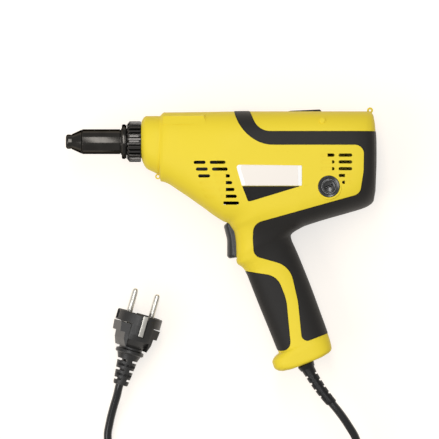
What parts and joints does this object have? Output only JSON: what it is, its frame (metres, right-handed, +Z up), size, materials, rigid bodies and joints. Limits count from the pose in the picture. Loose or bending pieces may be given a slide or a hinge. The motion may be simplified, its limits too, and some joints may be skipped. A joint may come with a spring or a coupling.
{
  "type": "blind rivet gun",
  "caption": "Corded electric blind riveter: two-part moulded pistol housing with rubber inlays, geared motor, draw screw with jaws, ribbed collar nut, trigger, cord and round plug.",
  "frame": {"origin": "under the middle of the tool, without its free cord and plug, on the surface it lies on", "axes": "+X runs along the spindle to the rear, +Y from the grip up to the spindle, +Z up from the flat right side that the tool lies on"},
  "size_m": [0.2562, 0.3738, 0.072],
  "materials": {
    "yellow_plastic": "fine texture",
    "black_rubber": "matt",
    "white_badge": "satin",
    "black_badge": "satin",
    "black_plastic": "fine texture",
    "trigger_plastic": "satin",
    "blackened_steel": "black oxide",
    "ground_steel": "turned",
    "tool_steel": "hardened",
    "spring_steel": "drawn",
    "cast_alloy": "die cast",
    "laminated_iron": "laminated",
    "copper_wire": "enamelled wire",
    "bronze": "sintered",
    "carbon": "pressed carbon",
    "circuit_board": "coated",
    "cord_rubber": "satin",
    "nickelled_brass": "nickel plate"
  },
  "bodies": {
    "housing": {"left_shell": "yellow_plastic", "right_shell": "yellow_plastic", "left_overmould": "black_rubber", "right_overmould": "black_rubber", "left_grip_inlay": "black_rubber", "right_grip_inlay": "black_rubber", "badge_plate": "white_badge", "badge_wedge": "black_badge", "housing_screws": "blackened_steel", "reverse_switch": "black_plastic", "brush_caps": "black_plastic", "nosepiece": "blackened_steel", "nose_sleeve": "blackened_steel", "lock_ring": "blackened_steel", "collar_nut": "blackened_steel", "guide_frame": "ground_steel", "limit_switches": "black_plastic", "nut_bearings": "ground_steel", "gearbox_case": "cast_alloy", "bearing_plate": "cast_alloy", "gearbox_cover": "cast_alloy", "gearbox_screws": "blackened_steel", "idler_bushes": "bronze", "motor_bearings": "ground_steel", "field_core": "laminated_iron", "field_coils": "copper_wire", "brush_holders": "bronze", "carbon_brushes": "carbon", "brush_springs": "spring_steel", "trigger_switch": "black_plastic", "trigger_spring": "spring_steel", "control_board": "circuit_board", "cord_guard": "black_rubber", "cable_clamp": "spring_steel", "clamp_screws": "blackened_steel", "cord_lead": "cord_rubber", "cord_coil": "cord_rubber", "coil_tie": "cord_rubber", "cord_tail": "cord_rubber", "plug_body": "black_plastic", "plug_pins": "nickelled_brass", "plug_earth_strips": "nickelled_brass"},
    "trigger": {"trigger": "trigger_plastic"},
    "reverse_slide": {"reverse_slide": "black_plastic"},
    "rotor": {"armature_shaft": "ground_steel", "armature_core": "laminated_iron", "armature_windings": "copper_wire", "commutator": "copper_wire", "cooling_fan": "black_plastic"},
    "idler": {"idler_shaft": "ground_steel", "idler_gear": "ground_steel"},
    "nut": {"spindle_nut": "ground_steel", "nut_gear": "ground_steel"},
    "draw": {"jaw_case": "ground_steel", "jaws": "tool_steel", "jaw_pusher": "ground_steel", "jaw_spring": "spring_steel", "draw_screw": "ground_steel", "guide_block": "ground_steel"}
  },
  "joints": [
    {"name": "trigger_slide", "type": "slide", "parent": "housing", "child": "trigger", "axis": [0.9304, 0.3665, 0], "range_m": [0, 0.005], "stiffness_N_per_m": 800, "springref_m": -0.003},
    {"name": "reverse_slide", "type": "slide", "parent": "housing", "child": "reverse_slide", "axis": [-1, 0, 0], "range_m": [0, 0.005]},
    {"name": "rotor_spin", "type": "hinge", "parent": "housing", "child": "rotor", "pos_m": [-0.06348, 0.05628, 0.0356], "axis": [1, 0, 0], "range_deg": [0, 39744]},
    {"name": "idler_spin", "type": "hinge", "parent": "housing", "child": "idler", "pos_m": [-0.06348, 0.07128, 0.0356], "axis": [1, 0, 0], "range_deg": [-9936, 0]},
    {"name": "nut_spin", "type": "hinge", "parent": "housing", "child": "nut", "pos_m": [-0.06348, 0.09228, 0.0356], "axis": [1, 0, 0], "range_deg": [0, 2160]},
    {"name": "draw_slide", "type": "slide", "parent": "housing", "child": "draw", "axis": [1, 0, 0], "range_m": [0, 0.018]}
  ],
  "couplings": [
    {"joint": "idler_spin", "follows": "rotor_spin", "ratio": -0.25},
    {"joint": "nut_spin", "follows": "rotor_spin", "ratio": 0.054348},
    {"joint": "draw_slide", "follows": "rotor_spin", "m_per_rad": 0.000025949}
  ]
}
